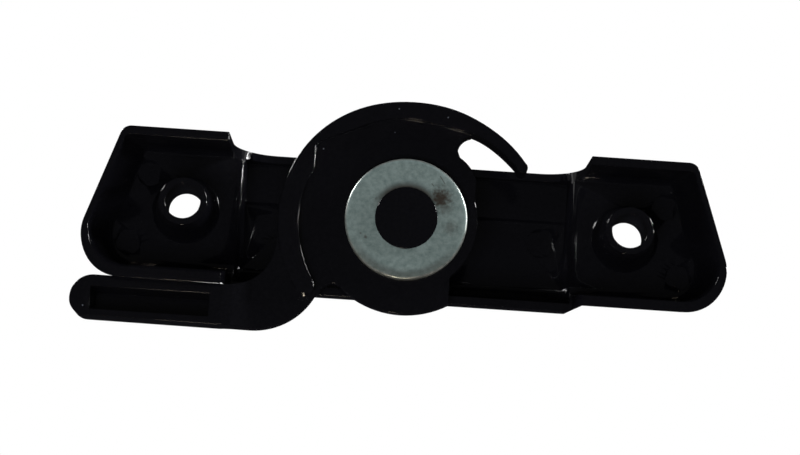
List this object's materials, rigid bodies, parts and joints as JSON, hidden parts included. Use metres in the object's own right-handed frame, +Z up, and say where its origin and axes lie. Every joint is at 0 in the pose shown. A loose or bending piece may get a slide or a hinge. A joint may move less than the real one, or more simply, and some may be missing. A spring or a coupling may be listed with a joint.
{
  "type": "sash lock",
  "caption": "Cam-action sash lock: raised housing for a window meeting rail, with a hooked cam and lever that turn on a staked post.",
  "frame": {"origin": "on the mounting plane, on the cam's pivot axis, midway between the two screw holes", "axes": "+Z up off the sash, +Y towards the keeper, +X towards the end that the lever points to when locked"},
  "size_m": [0.0924, 0.0342, 0.016],
  "materials": {
    "housing_enamel": "gloss black enamel on zinc die casting",
    "lever_enamel": "gloss black enamel on zinc die casting",
    "washer_zinc": "zinc plated steel",
    "spring_steel": "plain spring steel"
  },
  "bodies": {
    "base": {"housing": "housing_enamel", "retaining_washer": "washer_zinc", "spring_washer": "spring_steel"},
    "cam": {"cam_lever": "lever_enamel"}
  },
  "joints": [
    {"name": "lever_turn", "type": "hinge", "parent": "base", "child": "cam", "pos_m": [0, 0, 0.0065], "axis": [0, 0, -1], "range_deg": [0, 115]}
  ]
}
